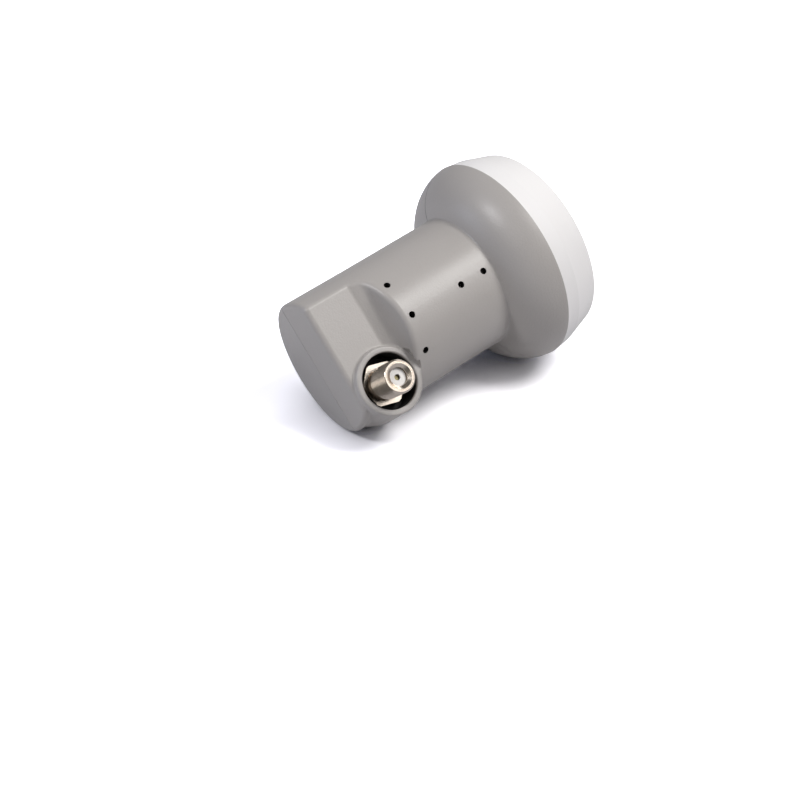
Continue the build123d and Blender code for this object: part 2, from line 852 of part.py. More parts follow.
f_insulator.part.label = "f_insulator"
export_step(f_insulator.part, "parts/f_insulator.step")

f_contact.part.label = "f_contact"
export_step(f_contact.part, "parts/f_contact.step")

connector_seal.part.label = "connector_seal"
export_step(connector_seal.part, "parts/connector_seal.step")

lna_transistors.part.label = "lna_transistors"
export_step(lna_transistors.part, "parts/lna_transistors.step")

converter_chip.part.label = "converter_chip"
export_step(converter_chip.part, "parts/converter_chip.step")

crystal.part.label = "crystal"
export_step(crystal.part, "parts/crystal.step")

regulator.part.label = "regulator"
export_step(regulator.part, "parts/regulator.step")

choke.part.label = "choke"
export_step(choke.part, "parts/choke.step")

chip_capacitors.part.label = "chip_capacitors"
export_step(chip_capacitors.part, "parts/chip_capacitors.step")
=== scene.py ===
import json
import math

import bpy
from bpy.props import FloatProperty, FloatVectorProperty, IntProperty, PointerProperty
from mathutils import Matrix, Vector


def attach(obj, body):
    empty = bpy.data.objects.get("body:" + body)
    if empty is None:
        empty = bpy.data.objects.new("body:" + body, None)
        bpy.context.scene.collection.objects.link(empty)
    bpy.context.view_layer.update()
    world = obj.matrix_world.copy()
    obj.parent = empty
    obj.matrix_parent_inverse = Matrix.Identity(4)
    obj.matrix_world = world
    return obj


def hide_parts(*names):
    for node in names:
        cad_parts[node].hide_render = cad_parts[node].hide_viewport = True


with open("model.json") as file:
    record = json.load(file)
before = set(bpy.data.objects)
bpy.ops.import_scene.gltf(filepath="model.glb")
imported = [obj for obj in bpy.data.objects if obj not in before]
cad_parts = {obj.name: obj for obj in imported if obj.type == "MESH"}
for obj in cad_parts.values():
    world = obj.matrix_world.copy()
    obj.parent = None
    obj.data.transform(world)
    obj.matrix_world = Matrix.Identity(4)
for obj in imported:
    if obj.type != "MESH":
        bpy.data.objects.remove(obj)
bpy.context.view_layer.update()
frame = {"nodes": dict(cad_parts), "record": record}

bl_info = {
    "name": "Satellite LNB looks",
    "version": (1, 0, 0),
    "blender": (4, 5, 0),
    "location": "View3D > Sidebar > LNB",
    "description": "Dresses the satellite converter: housing, feed cap, connector and stage",
    "category": "Object",
}

MM = 0.001
WHITE = (1.0, 1.0, 1.0)

# Axes, places and sizes that come from the part's mounts
MOUNTS = {mount["name"]: mount for mount in frame["record"]["mounts"]}
FEED_DIR = -Vector(MOUNTS["neck"]["axis"])
NECK_MID = Vector(MOUNTS["neck"]["pos_m"])
NECK_R = MOUNTS["neck"]["dims"]["r_mm"] * MM
THREAD_DIR = Vector(MOUNTS["f_thread"]["axis"])
THREAD_MID = Vector(MOUNTS["f_thread"]["pos_m"])
THREAD_LEN = MOUNTS["f_thread"]["dims"]["length_mm"] * MM
THREAD_R = MOUNTS["f_thread"]["dims"]["r_mm"] * MM

# Vent holes: millimetres forward of the middle of the neck, and degrees round it
VENTS = [(-14.48, 31.0), (-13.88, 0.0), (-14.48, -31.0), (3.62, 0.0), (11.72, 0.0)]
VENT_R = 0.95 * MM
# The connector's well: its radius, and where its painted shade starts along the thread's axis
WELL_R = 8.0 * MM
WELL_LIP = -1.3 * MM
WELL_FADE = 1.0 * MM
# Painted shade inside the well and the vent holes: its edge fade, its colour and its roughness
HOLE_EDGE = 0.1 * MM
HOLE_SHADE_COLOUR = (0.006, 0.006, 0.006)
HOLE_ROUGHNESS = 0.9

# The line where the housing's halves part: painted shade, darkest high up and fading lower down
PARTING_HALF_WIDTH = 0.16 * MM
PARTING_FADE = 0.08 * MM
PARTING_SHADE = 0.6
LINE_SHADE_FOOT = 20.0 * MM
LINE_SHADE_RISE = 18.0 * MM
LINE_SHADE_LEAST = 0.1

# Patterns in the finishes, in cells to the metre, and the span that every roughness keeps to
FLOW_CELLS = 55.0
PLATING_CELLS = 420.0
TURNING_CELLS = 3200.0
WEAVE_CELLS = 260.0
LACQUER_CELLS = 300.0
TRACE_CELLS = 210.0
ROUGHNESS_SPAN = (0.05, 0.95)

# Merging distances for drawn points and turned solids, and the sharpest angle shaded smooth
POINT_MERGE = 0.0001 * MM
SEAM_MERGE = 0.001 * MM
SMOOTH_ANGLE = math.radians(28.0)

# Connector body: relief and core in the hexagon, groove round the mouth, and the thread's
# tooth, with its flank and half its crest as shares of the pitch
RELIEF_DROP = 0.25 * MM
RELIEF_SLOPE = 0.3 * MM
CORE_STEP = 0.2 * MM
GROOVE_GAP = 0.1 * MM
GROOVE_WIDTH = 0.35 * MM
GROOVE_DEPTH = 0.14 * MM
GROOVE_SLOPE = 0.08 * MM
TOOTH_SINK = 0.08 * MM
TOOTH_FLANK = 0.44
TOOTH_CREST = 0.06
TRIM_SINK = 0.1 * MM
HEXAGON_STEPS = 96

# Connector inside: edges of the insulator, then the contact's end, spring jaws and bore
INSULATOR_EDGE = 0.15 * MM
ENTRY_EDGE = 0.12 * MM
CONTACT_GAP = 0.7 * MM
CONTACT_EDGE = 0.4 * MM
JAW_R = 0.12 * MM
JAW_LEN = 0.8 * MM
JAW_FLARE = 0.6 * MM
SPRING_R = 0.55 * MM
SPRING_DEPTH = 7.3 * MM

# Floor, as the camera alone sees it: how far its colour is lifted, within what reach of the part
# the lift weakens into a painted contact shadow, and where the floor runs out to white
FLOOR_SIZE = 8.0
FLOOR_LIFT = 3.5
CONTACT_SHADOW_REACH = 12.0 * MM
CONTACT_SHADOW_SAMPLES = 8
FAR_START = 0.35
FAR_FADE = 0.3

# Room: its fill on the part, what mirrored rays add to that, and the colours of both
ROOM_FILL = 0.07
ROOM_MIRRORED = 0.1
FILL_COLOUR = (0.95, 0.94, 1.11)
MIRRORED_COLOUR = (1.0, 0.96, 0.92)

SENSOR_WIDTH = 36.0
CLIP_START = 0.01

# Finish of each piece that keeps its CAD mesh, apart from the housing and the cap
INNER_FINISHES = {
    "horn_chassis": "casting",
    "cap_seal": "rubber",
    "connector_seal": "rubber",
    "rf_board": "laminate",
    "shield_lid": "tinplate",
    "absorber_pad": "rubber",
    "shield_screws": "nickel",
    "probe_straight": "brass",
    "probe_cross": "brass",
    "isolation_rod": "brass",
    "probe_bushings": "fluoropolymer",
    "lna_transistors": "epoxy",
    "converter_chip": "epoxy",
    "crystal": "tinplate",
    "regulator": "epoxy",
    "choke": "epoxy",
    "chip_capacitors": "ceramic",
}


# Shading


class Shade:
    """A socket in a node tree: arithmetic adds Math nodes, and node() adds any other."""

    def __init__(self, tree, socket=None):
        self.tree = tree
        self.socket = socket

    def node(self, kind, settings=None, sockets=None, out=0):
        """Adds a node, with its settings first and then the values or links of its sockets."""
        made = self.tree.nodes.new(kind)
        for key, value in (settings or {}).items():
            setattr(made, key, value)
        for key, value in (sockets or {}).items():
            if isinstance(value, Shade):
                self.tree.links.new(value.socket, made.inputs[key])
            else:
                made.inputs[key].default_value = value
        return Shade(self.tree, made.outputs[out]) if made.outputs else None

    def math(self, operation, *values):
        return self.node("ShaderNodeMath", {"operation": operation}, dict(enumerate(values)))

    def vector(self, operation, *values, out="Value"):
        return self.node(
            "ShaderNodeVectorMath", {"operation": operation}, dict(enumerate(values)), out
        )

    def clamp(self, low, high):
        return self.node("ShaderNodeClamp", None, {"Value": self, "Min": low, "Max": high})

    def __add__(self, other):
        return self.math("ADD", self, other)

    def __radd__(self, other):
        return self.math("ADD", other, self)

    def __sub__(self, other):
        return self.math("SUBTRACT", self, other)

    def __rsub__(self, other):
        return self.math("SUBTRACT", other, self)

    def __mul__(self, other):
        return self.math("MULTIPLY", self, other)

    def __rmul__(self, other):
        return self.math("MULTIPLY", other, self)

    def __truediv__(self, other):
        return self.math("DIVIDE", self, other)

    def __rtruediv__(self, other):
        return self.math("DIVIDE", other, self)

    def __neg__(self):
        return self.math("MULTIPLY", self, -1.0)


def paint(colour):
    """A colour as a socket takes it: a Shade as it is, three numbers with full alpha."""
    return colour if isinstance(colour, Shade) else (*colour, 1.0)


def mixed(shade, factor, low, high):
    """The colour a factor of the way between two: sockets 6 and 7 are a Mix node's colours."""
    return shade.node(
        "ShaderNodeMix",
        {"data_type": "RGBA", "blend_type": "MIX"},
        {0: factor, 6: paint(low), 7: paint(high)},
        out=2,
    )


def scaled(colour, factor):
    return [channel * factor for channel in colour]


def new_tree(name):
    material = bpy.data.materials.new(name)
    material.use_nodes = True
    material.node_tree.nodes.clear()
    return material, Shade(material.node_tree)


def finish_material(material, shade, surface):
    shade.node("ShaderNodeOutputMaterial", None, {"Surface": surface})
    return material


def object_coords(shade):
    return shade.node("ShaderNodeTexCoord", out="Object")


def light_path(shade, kind):
    """One on rays of a kind, such as those that come straight from the camera."""
    return shade.node("ShaderNodeLightPath", out=kind)


def noise(shade, place, scale, detail=2.0, roughness=0.5):
    return shade.node(
        "ShaderNodeTexNoise",
        {"noise_dimensions": "3D"},
        {"Vector": place, "Scale": scale, "Detail": detail, "Roughness": roughness},
    )


def bump(shade, height, depth, strength=1.0):
    return shade.node(
        "ShaderNodeBump", None, {"Strength": strength, "Distance": depth, "Height": height}
    )


def below(value, limit, fade):
    """One where a value lies under a limit, falling to nothing over the fade."""
    return ((limit - value) / fade).clamp(0.0, 1.0)


def axis_gap(shade, place, point, axis):
    """How far a place lies along an axis from a point on it, and its distance from that axis."""
    offset = shade.vector("SUBTRACT", place, point, out="Vector")
    along = shade.vector("DOT_PRODUCT", offset, axis)
    span = shade.vector("DOT_PRODUCT", offset, offset)
    return along, shade.math("SQRT", shade.math("MAXIMUM", span - along * along, 0.0))


def well_shade(shade, place):
    """Painted shade: one inside the connector's well, where no light reaches."""
    along, gap = axis_gap(shade, place, THREAD_MID, THREAD_DIR)
    inside = below(gap, WELL_R + 2 * HOLE_EDGE, HOLE_EDGE)
    return inside * below(along, WELL_LIP, WELL_FADE)


def vent_shade(shade, place, ahead, angle):
    """Painted shade: one inside a vent hole, from the neck's face inwards."""
    side = THREAD_DIR.cross(FEED_DIR)
    axis = THREAD_DIR * math.cos(angle) + side * math.sin(angle)
    along, gap = axis_gap(shade, place, NECK_MID + FEED_DIR * ahead, axis)
    inside = below(gap, VENT_R + 2 * HOLE_EDGE, HOLE_EDGE)
    sunk = below(along, NECK_R - HOLE_EDGE, 2 * HOLE_EDGE)
    return inside * sunk * below(-along, 0.0, HOLE_EDGE)


def parting_shade(shade, place):
    """Painted shade along the line where the housing's halves part, fading lower down."""
    rise, _ = axis_gap(shade, place, NECK_MID, THREAD_DIR)
    height = shade.node("ShaderNodeSeparateXYZ", None, {"Vector": place}, "Z")
    height_fade = ((height - LINE_SHADE_FOOT) / LINE_SHADE_RISE).clamp(LINE_SHADE_LEAST, 1.0)
    line = below(shade.math("ABSOLUTE", rise), PARTING_HALF_WIDTH, PARTING_FADE)
    return line * height_fade * PARTING_SHADE


def hollow_shade(shade, place):
    """Painted shade: one in the housing's well and vent holes, and less in its parting line."""
    dark = well_shade(shade, place)
    for ahead, angle in VENTS:
        dark = dark + vent_shade(shade, place, ahead * MM, math.radians(angle))
    return (dark + parting_shade(shade, place)).clamp(0.0, 1.0)


# Finishes


def moulded_plastic(name, colour, grain_size, grain_depth, gloss, spread, shaded_hollows=False):
    """Spark-textured plastic: fine grain, slow flow mottling and gloss that varies with both."""
    grain_in_mottle, grain_in_height, pit_share = 0.6, 0.65, 0.37
    grain_gloss, flow_gloss = 0.12, 0.10
    plastic_ior = 1.49
    material, shade = new_tree(name)
    place = object_coords(shade)
    grain = noise(shade, place, 1.0 / grain_size, detail=2.0, roughness=0.55)
    pits = noise(shade, place, pit_share / grain_size, detail=1.0)
    flow = noise(shade, place, FLOW_CELLS, detail=3.0)
    mottle = flow * (1.0 - grain_in_mottle) + grain * grain_in_mottle
    base = mixed(
        shade,
        mottle.clamp(0.0, 1.0),
        scaled(colour, 1.0 - spread),
        scaled(colour, 1.0 + spread),
    )
    rough = gloss + (grain - 0.5) * grain_gloss + (flow - 0.5) * flow_gloss
    rough = rough.clamp(*ROUGHNESS_SPAN)
    # Painted shade in the well, the vent holes and the parting line, mixed into the colour
    if shaded_hollows:
        dark = hollow_shade(shade, place)
        base = mixed(shade, dark, base, HOLE_SHADE_COLOUR)
        rough = rough + dark * (HOLE_ROUGHNESS - rough)
    height = grain * grain_in_height + pits * (1.0 - grain_in_height)
    surface = shade.node(
        "ShaderNodeBsdfPrincipled",
        None,
        {
            "Base Color": base,
            "Roughness": rough,
            "Normal": bump(shade, height, grain_depth),
            "IOR": plastic_ior,
        },
    )
    return finish_material(material, shade, surface)


def plated_metal(name, colour, smoothest, roughest, scratch):
    """Plated or cast metal: cloudy plating, fine turning marks and dulled patches."""
    dull, bright = 0.86, 1.06
    mark_gloss = 0.08
    material, shade = new_tree(name)
    place = object_coords(shade)
    cloud = noise(shade, place, PLATING_CELLS, detail=3.0, roughness=0.6)
    marks = noise(shade, place, TURNING_CELLS, detail=2.0, roughness=0.6)
    rough = smoothest + cloud * (roughest - smoothest) + (marks - 0.5) * mark_gloss
    surface = shade.node(
        "ShaderNodeBsdfPrincipled",
        None,
        {
            "Base Color": mixed(shade, cloud, scaled(colour, dull), scaled(colour, bright)),
            "Metallic": 1.0,
            "Roughness": rough.clamp(*ROUGHNESS_SPAN),
            "Normal": bump(shade, marks, scratch),
        },
    )
    return finish_material(material, shade, surface)


def laminate_board(name, colour, trace_colour):
    """Circuit laminate: woven ground under lacquer, with paler conductor bands."""
    dark, pale = 0.85, 1.15
    trace_edge, trace_cover = 0.56, 0.6
    lacquer_rough, weave_rough = 0.32, 0.12
    weave_depth, weave_strength, weave_wander = 0.02 * MM, 0.6, 9.0
    material, shade = new_tree(name)
    place = object_coords(shade)
    weave = shade.node(
        "ShaderNodeTexWave",
        {"bands_direction": "X"},
        {"Vector": place, "Scale": WEAVE_CELLS, "Distortion": weave_wander},
    )
    cloud = noise(shade, place, LACQUER_CELLS)
    trace = shade.math("GREATER_THAN", noise(shade, place, TRACE_CELLS, detail=0.0), trace_edge)
    ground = mixed(shade, cloud, scaled(colour, dark), scaled(colour, pale))
    surface = shade.node(
        "ShaderNodeBsdfPrincipled",
        None,
        {
            "Base Color": mixed(shade, trace * trace_cover, ground, trace_colour),
            "Roughness": lacquer_rough + weave * weave_rough,
            "Normal": bump(shade, weave + trace, weave_depth, weave_strength),
        },
    )
    return finish_material(material, shade, surface)


# Modelling


def deselect():
    if bpy.context.object and bpy.context.object.mode != "OBJECT":
        bpy.ops.object.mode_set(mode="OBJECT")
    bpy.ops.object.select_all(action="DESELECT")


def pick(piece):
    """Selects one piece alone and makes it the active one."""
    deselect()
    piece.select_set(True)
    bpy.context.view_layer.objects.active = piece


def drawn(name, outline):
    """A closed wire through (radius, height) points, drawn point by point from a single one."""
    deselect()
    bpy.ops.mesh.primitive_plane_add(size=MM)
    piece = bpy.context.object
    piece.name = name
    bpy.ops.object.mode_set(mode="EDIT")
    bpy.ops.mesh.select_all(action="SELECT")
    bpy.ops.mesh.merge(type="CENTER")
    radius, height = outline[0]
    bpy.ops.transform.translate(value=(radius, 0.0, height))
    for radius_to, height_to in outline[1:] + outline[:1]:
        bpy.ops.mesh.extrude_region_move(
            TRANSFORM_OT_translate={"value": (radius_to - radius, 0.0, height_to - height)}
        )
        radius, height = radius_to, height_to
    bpy.ops.mesh.select_all(action="SELECT")
    bpy.ops.mesh.remove_doubles(threshold=POINT_MERGE)
    bpy.ops.object.mode_set(mode="OBJECT")
    return piece


def turned(name, outline, steps):
    """A solid turned about +Z from a closed outline of (radius, height) points."""
    piece = drawn(name, outline)
    bpy.ops.object.mode_set(mode="EDIT")
    bpy.ops.mesh.select_all(action="SELECT")
    bpy.ops.mesh.spin(
        steps=steps, angle=math.tau, center=(0.0, 0.0, 0.0), axis=(0.0, 0.0, 1.0)
    )
    bpy.ops.mesh.select_all(action="SELECT")
    bpy.ops.mesh.remove_doubles(threshold=SEAM_MERGE)
    bpy.ops.mesh.normals_make_consistent(inside=False)
    bpy.ops.object.mode_set(mode="OBJECT")
    return piece


def apply_modifier(piece, kind, **settings):
    pick(piece)
    modifier = piece.modifiers.new(kind.title(), kind)
    for key, value in settings.items():
        setattr(modifier, key, value)
    bpy.ops.object.modifier_apply(modifier=modifier.name)


def keep_inside(piece, envelope):
    """Trims a piece to what lies inside an envelope, which is then removed."""
    apply_modifier(piece, "BOOLEAN", operation="INTERSECT", object=envelope, solver="EXACT")
    bpy.data.objects.remove(envelope)


def connector_matrix():
    """Takes +Z to the thread's axis, from the middle of the thread, and +X forward."""
    side = FEED_DIR - THREAD_DIR * FEED_DIR.dot(THREAD_DIR)
    side.normalize()
    across = THREAD_DIR.cross(side)
    matrix = Matrix((side, across, THREAD_DIR)).transposed().to_4x4()
    matrix.translation = THREAD_MID
    return matrix


def dress(piece, material):
    piece.data.materials.clear()
    piece.data.materials.append(material)


def dress_node(node, material):
    piece = frame["nodes"][node]
    if not piece.material_slots:
        piece.data.materials.append(material)
    for slot in piece.material_slots:
        slot.material = material


def finish_connector_piece(piece, material):
    """Puts a piece made about +Z on the connector's axis, smooths it and dresses it."""
    pick(piece)
    piece.matrix_world = connector_matrix()
    bpy.ops.object.transform_apply(location=True, rotation=True, scale=True)
    bpy.ops.object.shade_smooth_by_angle(angle=SMOOTH_ANGLE)
    dress(piece, material)


# Settings


def colour_setting(name, description, default):
    return FloatVectorProperty(
        name=name, description=description, default=default, subtype="COLOR", min=0.0, max=1.0
    )


def length_setting(name, description, default):
    return FloatProperty(name=name, description=description, default=default, unit="LENGTH")


def place_setting(name, description, default):
    return FloatVectorProperty(
        name=name, description=description, default=default, subtype="XYZ", unit="LENGTH"
    )


def roughness_setting(description, default):
    return FloatProperty(
        name="Roughness",
        description=description,
        default=default,
        subtype="FACTOR",
        min=0.0,
        max=1.0,
    )


class LnbHousingSettings(bpy.types.PropertyGroup):
    colour: colour_setting(
        "Housing grey", "Colour of the moulded neck and bell", (0.42, 0.40, 0.383)
    )
    grain: length_setting("Grain", "Size of the moulded texture's grain", 0.5 * MM)
    grain_depth: length_setting("Grain depth", "Depth of the moulded texture", 0.06 * MM)
    roughness: roughness_setting("Mean roughness of the housing", 0.37)


class LnbCapSettings(bpy.types.PropertyGroup):
    colour: colour_setting("Cap white", "Colour of the feed cap", (0.85, 0.84, 0.835))
    grain: length_setting("Grain", "Size of the cap's grain", 0.5 * MM)
    grain_depth: length_setting("Grain depth", "Depth of the cap's grain", 0.006 * MM)
    roughness: roughness_setting("Mean roughness of the cap", 0.62)


class LnbConnectorSettings(bpy.types.PropertyGroup):
    colour: colour_setting("Nickel", "Colour of the connector's plating", (0.60, 0.535, 0.47))
    pitch: length_setting("Pitch", "Pitch of the thread, 32 to the inch", 25.4 / 32 * MM)
    depth: length_setting("Thread depth", "Height of the thread's ridge", 0.42 * MM)
    relief: length_setting(
        "Relief", "Length of the relief between hexagon and thread", 1.5 * MM
    )
    bore: length_setting("Bore", "Radius of the bore that holds the insulator", 2.6 * MM)
    mouth: length_setting("Mouth", "Radius of the countersunk mouth", 3.6 * MM)
    mouth_depth: length_setting("Mouth depth", "Depth of the countersunk mouth", 0.7 * MM)
    tip_chamfer: length_setting("Tip chamfer", "Chamfer at the barrel's mouth", 0.5 * MM)
    hexagon: length_setting("Hexagon", "Width of the hexagon across its flats", 11.6 * MM)
    hexagon_height: length_setting("Hexagon height", "Height of the hexagon", 3.6 * MM)
    hexagon_turn: FloatProperty(
        name="Hexagon turn",
        description="Turn of the hexagon on the barrel",
        default=math.radians(15.0),
        subtype="ANGLE",
    )
    hexagon_face: length_setting(
        "Hexagon face", "Radius of the turned face of the hexagon", 6.4 * MM
    )
    corner_drop: length_setting(
        "Corner drop", "Fall of the hexagon's turned-off corners", 0.2 * MM
    )
    shank: length_setting("Shank radius", "Radius of the shank below the hexagon", 4.7 * MM)
    shank_length: length_setting(
        "Shank length", "Length of the shank below the hexagon", 4.5 * MM
    )
    insulator_recess: length_setting(
        "Insulator recess", "Depth of the insulator's face below the tip", 1.7 * MM
    )
    entry: length_setting("Entry", "Radius of the hole in the insulator's face", 0.82 * MM)
    socket: length_setting("Socket", "Radius of the contact's socket", 1.15 * MM)
    socket_top: length_setting(
        "Socket top", "Height of the socket's room over the thread's middle", 4.15 * MM
    )
    socket_base: length_setting(
        "Socket base", "Height of the socket's base over the thread's middle", -12.75 * MM
    )
    pin: length_setting("Pin", "Radius of the contact's pin", 0.4 * MM)
    pin_end: length_setting(
        "Pin end", "Height of the pin's end over the thread's middle", -19.15 * MM
    )
    play: length_setting("Play", "Play round the insulator and in it", 0.02 * MM)
    steps: IntProperty(
        name="Steps", description="Steps round the barrel", default=72, min=24, max=256
    )


class LnbStageSettings(bpy.types.PropertyGroup):
    floor: colour_setting("Floor", "Colour of the floor", (0.60, 0.60, 0.625))
    camera: place_setting("Camera", "Place of the camera", (-0.306028, -0.371801, 0.327992))
    aim: place_setting(
        "Aim", "Point on the floor that the camera looks at", (-0.013569, -0.003510, 0.0)
    )
    lens: FloatProperty(name="Lens", description="Focal length", default=90.0, unit="CAMERA")


# Steps


class LNB_OT_housing(bpy.types.Operator):
    """Gives both halves of the moulded housing their textured grey plastic"""

    bl_idname = "lnb.housing"
    bl_label = "Housing"

    def execute(self, context):
        look = context.scene.lnb_housing
        grey = moulded_plastic(
            "housing_grey",
            look.colour,
            look.grain,
            look.grain_depth,
            gloss=look.roughness,
            spread=0.06,
            # painted shade in the well, the vent holes and the parting line
            shaded_hollows=True,
        )
        dress_node("shell_near", grey)
        dress_node("shell_far", grey)
        return {"FINISHED"}


class LNB_OT_cap(bpy.types.Operator):
    """Gives the feed cap its smooth white plastic"""

    bl_idname = "lnb.cap"
    bl_label = "Feed cap"

    def execute(self, context):
        look = context.scene.lnb_cap
        white = moulded_plastic(
            "cap_white",
            look.colour,
            look.grain,
            look.grain_depth,
            gloss=look.roughness,
            spread=0.012,
        )
        dress_node("feed_cap", white)
        return {"FINISHED"}


class LNB_OT_connector(bpy.types.Operator):
    """Models the threaded connector body, with its hexagon, helical thread and bore"""

    bl_idname = "lnb.connector"
    bl_label = "Connector"

    def execute(self, context):
        look = context.scene.lnb_connector
        nickel = plated_metal(
            "nickel", look.colour, smoothest=0.14, roughest=0.3, scratch=0.018 * MM
        )
        hex_top = -THREAD_LEN / 2
        hex_bottom = hex_top - look.hexagon_height
        thread_start = hex_top + look.relief
        tip = THREAD_LEN / 2 + look.tip_chamfer
        root = THREAD_R - look.depth
        core = self.core(look, hex_bottom, thread_start, tip, root)
        ridge = self.ridge(look, thread_start, tip, root)
        hexagon = self.hexagon(look, hex_bottom)
        pick(core)
        ridge.select_set(True)
        hexagon.select_set(True)
        bpy.ops.object.join()
        finish_connector_piece(core, nickel)
        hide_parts("f_body")
        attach(core, "root")
        return {"FINISHED"}

    def core(self, look, hex_bottom, thread_start, tip, root):
        """The turned core: shank, relief, barrel at the thread's root, mouth and bore."""
        shank_end = hex_bottom - look.shank_length
        relief = root - RELIEF_DROP
        tip_r = THREAD_R - look.tip_chamfer
        groove_in = look.mouth + GROOVE_GAP
        groove_out = groove_in + GROOVE_WIDTH
        groove_floor = tip - GROOVE_DEPTH
        return turned(
            "connector_body",
            [
                (look.bore, shank_end),
                (look.shank, shank_end),
                (look.shank, hex_bottom + CORE_STEP),
                (relief, hex_bottom + 2 * CORE_STEP),
                (relief, thread_start),
                (root, thread_start + RELIEF_SLOPE),
                (root, tip - (root - tip_r)),
                (tip_r, tip),
                (groove_out, tip),
                (groove_out - GROOVE_SLOPE, groove_floor),
                (groove_in + GROOVE_SLOPE, groove_floor),
                (groove_in, tip),
                (look.mouth, tip),
                (look.bore, tip - look.mouth_depth),
            ],
            look.steps,
        )

    def ridge(self, look, start, tip, root):
        """The helical ridge: one tooth carried up the barrel, trimmed at its run-out and tip."""
        sunk = root - TOOTH_SINK
        flank = look.pitch * TOOTH_FLANK
        crest = look.pitch * TOOTH_CREST
        first = start - look.pitch
        tooth = [
            (sunk, first),
            (THREAD_R, first + flank - crest),
            (THREAD_R, first + flank + crest),
            (sunk, first + 2 * flank),
        ]
        piece = drawn("thread_ridge", tooth)
        apply_modifier(
            piece,
            "SCREW",
            axis="Z",
            angle=math.tau,
            screw_offset=look.pitch,
            iterations=math.ceil((tip - start) / look.pitch) + 1,
            steps=look.steps,
            render_steps=look.steps,
            use_merge_vertices=False,
        )
        bpy.ops.object.mode_set(mode="EDIT")
        bpy.ops.mesh.select_all(action="SELECT")
        bpy.ops.mesh.fill_holes(sides=0)
        bpy.ops.mesh.normals_make_consistent(inside=False)
        bpy.ops.object.mode_set(mode="OBJECT")
        inner = sunk - TRIM_SINK
        chamfer_foot = tip - look.tip_chamfer
        envelope = turned(
            "thread_envelope",
            [
                (inner, start),
                (root, start),
                (THREAD_R, start + look.pitch),
                (THREAD_R, chamfer_foot),
                (inner, chamfer_foot + THREAD_R - inner),
            ],
            look.steps,
        )
        keep_inside(piece, envelope)
        return piece

    def hexagon(self, look, bottom):
        """The hexagon with its corners turned off top and bottom, as on a bar-turned nut."""
        corner = look.hexagon / math.sqrt(3)
        top = bottom + look.hexagon_height
        deselect()
        bpy.ops.mesh.primitive_cylinder_add(
            vertices=6,
            radius=corner,
            depth=look.hexagon_height,
            location=(0.0, 0.0, bottom + look.hexagon_height / 2),
            rotation=(0.0, 0.0, look.hexagon_turn),
        )
        piece = bpy.context.object
        piece.name = "hexagon"
        bpy.ops.object.transform_apply(location=True, rotation=True, scale=True)
        blank = turned(
            "hexagon_blank",
            [
                (0.0, bottom),
                (look.hexagon_face, bottom),
                (corner, bottom + look.corner_drop),
                (corner, top - look.corner_drop),
                (look.hexagon_face, top),
                (0.0, top),
            ],
            HEXAGON_STEPS,
        )
        keep_inside(piece, blank)
        return piece


class LNB_OT_insulator(bpy.types.Operator):
    """Models the white insulator in the connector, with its entry and the contact's room"""

    bl_idname = "lnb.insulator"
    bl_label = "Insulator"

    def execute(self, context):
        look = context.scene.lnb_connector
        bottom = -THREAD_LEN / 2 - look.hexagon_height - look.shank_length
        top = THREAD_LEN / 2 + look.tip_chamfer - look.insulator_recess
        wall = look.bore - look.play
        insulator = turned(
            "insulator",
            [
                (look.pin + look.play, bottom),
                (wall, bottom),
                (wall, top - INSULATOR_EDGE),
                (wall - INSULATOR_EDGE, top),
                (look.entry + ENTRY_EDGE, top),
                (look.entry, top - ENTRY_EDGE),
                (look.entry, look.socket_top),
                (look.socket + look.play, look.socket_top),
                (look.socket + look.play, look.socket_base),
                (look.pin + look.play, look.socket_base),
            ],
            look.steps,
        )
        fluoropolymer = moulded_plastic(
            "fluoropolymer",
            (0.80, 0.785, 0.77),
            grain_size=0.4 * MM,
            grain_depth=0.004 * MM,
            gloss=0.4,
            spread=0.03,
        )
        finish_connector_piece(insulator, fluoropolymer)
        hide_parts("f_insulator")
        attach(insulator, "root")
        return {"FINISHED"}


class LNB_OT_contact(bpy.types.Operator):
    """Models the brass contact: a pin to the board and a socket with a nearly closed end"""

    bl_idname = "lnb.contact"
    bl_label = "Contact"

    def execute(self, context):
        look = context.scene.lnb_connector
        end = look.socket_top - CONTACT_GAP
        contact = turned(
            "contact",
            [
                (0.0, look.pin_end),
                (look.pin, look.pin_end),
                (look.pin, look.socket_base),
                (look.socket, look.socket_base),
                (look.socket, end - CONTACT_EDGE),
                (look.socket - CONTACT_EDGE, end),
                (JAW_R, end),
                (JAW_R, end - JAW_LEN),
                (SPRING_R, end - JAW_LEN - JAW_FLARE),
                (SPRING_R, end - SPRING_DEPTH),
                (0.0, end - SPRING_DEPTH),
            ],
            look.steps,
        )
        brass = plated_metal(
            "contact_brass", (0.27, 0.24, 0.14), smoothest=0.4, roughest=0.6, scratch=0.003 * MM
        )
        finish_connector_piece(contact, brass)
        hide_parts("f_contact")
        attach(contact, "root")
        return {"FINISHED"}


